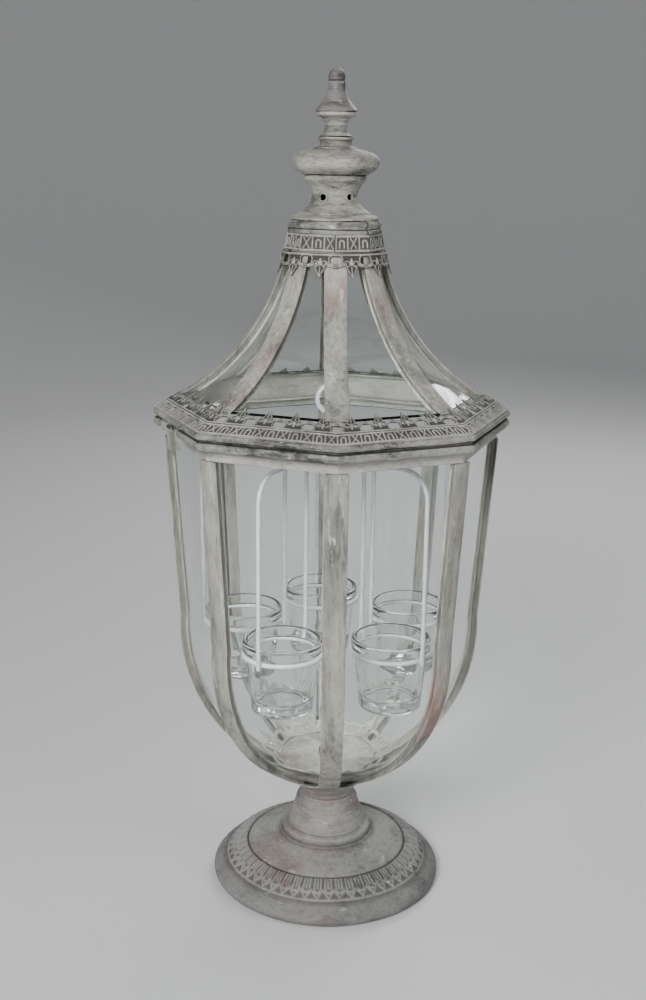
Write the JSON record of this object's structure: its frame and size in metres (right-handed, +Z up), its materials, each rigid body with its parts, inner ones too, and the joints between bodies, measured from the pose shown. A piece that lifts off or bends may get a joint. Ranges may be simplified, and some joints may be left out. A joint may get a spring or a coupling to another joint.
{
  "type": "glass candle lantern",
  "caption": "Octagonal urn-shaped glass candle lantern on a turned foot, with a hinged glass roof, vented finial and a lift-out wire carrier of glass cups.",
  "frame": {"origin": "centre of the foot's underside", "axes": "+Z up through the finial, front corner rib towards -Y"},
  "size_m": [0.322, 0.322, 0.7499],
  "materials": {
    "stone_paint": "distressed stone-grey paint, matt",
    "foot_paint": "rubbed grey paint over darker metal",
    "crest_metal": "pale paint with dark recesses",
    "knob_paint": "worn dark paint",
    "pane_glass": "clear window glass with green edges",
    "cup_glass": "clear pressed glass",
    "wire_paint": "satin off-white paint",
    "dark_steel": "dull dark steel"
  },
  "bodies": {
    "root": {"foot_base": "foot_paint", "foot_bell": "foot_paint", "bowl_cup": "foot_paint", "pedestal_rod": "dark_steel", "pedestal_washer": "dark_steel", "pedestal_nuts": "dark_steel", "body_floor": "stone_paint", "floor_crests": "crest_metal", "body_rib_1": "stone_paint", "body_rib_2": "stone_paint", "body_rib_3": "stone_paint", "body_rib_4": "stone_paint", "body_rib_5": "stone_paint", "body_rib_6": "stone_paint", "body_rib_7": "stone_paint", "body_rib_8": "stone_paint", "body_pane_1": "pane_glass", "body_pane_2": "pane_glass", "body_pane_3": "pane_glass", "body_pane_4": "pane_glass", "body_pane_5": "pane_glass", "body_pane_6": "pane_glass", "body_pane_7": "pane_glass", "body_pane_8": "pane_glass", "body_lip": "stone_paint", "hinge_leaf_lower": "stone_paint", "hinge_pin": "dark_steel"},
    "lid": {"hinge_leaf_upper": "stone_paint", "lid_frame": "stone_paint", "lower_bead": "stone_paint", "upper_bead": "stone_paint", "rim_tape": "crest_metal", "rim_crests": "crest_metal", "roof_ribs": "stone_paint", "roof_panes": "pane_glass", "roof_collar": "stone_paint", "collar_tape": "crest_metal", "collar_crests": "crest_metal", "roof_cap": "stone_paint", "vent_dome": "stone_paint", "finial_bulb": "stone_paint", "finial_spool": "stone_paint", "finial_tip": "knob_paint", "finial_rod": "dark_steel", "finial_nut": "dark_steel"},
    "carrier": {"carrier_hub": "wire_paint", "cup_holder_1": "wire_paint", "cup_holder_2": "wire_paint", "cup_holder_3": "wire_paint", "cup_holder_4": "wire_paint", "cup_holder_5": "wire_paint"},
    "cup_1": {"votive_cup_1": "cup_glass"},
    "cup_2": {"votive_cup_2": "cup_glass"},
    "cup_3": {"votive_cup_3": "cup_glass"},
    "cup_4": {"votive_cup_4": "cup_glass"},
    "cup_5": {"votive_cup_5": "cup_glass"}
  },
  "joints": [
    {"name": "lid_hinge", "type": "hinge", "parent": "root", "child": "lid", "pos_m": [-0.14771, -0.01908, 0.44701], "axis": [0.3827, -0.9239, 0], "range_deg": [0, 100]},
    {"name": "carrier_lift", "type": "slide", "parent": "root", "child": "carrier", "axis": [0, 0, 1], "range_m": [0, 0.005]},
    {"name": "cup_1_lift", "type": "slide", "parent": "carrier", "child": "cup_1", "axis": [0, 0, 1], "range_m": [0, 0.065]},
    {"name": "cup_2_lift", "type": "slide", "parent": "carrier", "child": "cup_2", "axis": [0, 0, 1], "range_m": [0, 0.065]},
    {"name": "cup_3_lift", "type": "slide", "parent": "carrier", "child": "cup_3", "axis": [0, 0, 1], "range_m": [0, 0.065]},
    {"name": "cup_4_lift", "type": "slide", "parent": "carrier", "child": "cup_4", "axis": [0, 0, 1], "range_m": [0, 0.065]},
    {"name": "cup_5_lift", "type": "slide", "parent": "carrier", "child": "cup_5", "axis": [0, 0, 1], "range_m": [0, 0.065]}
  ]
}
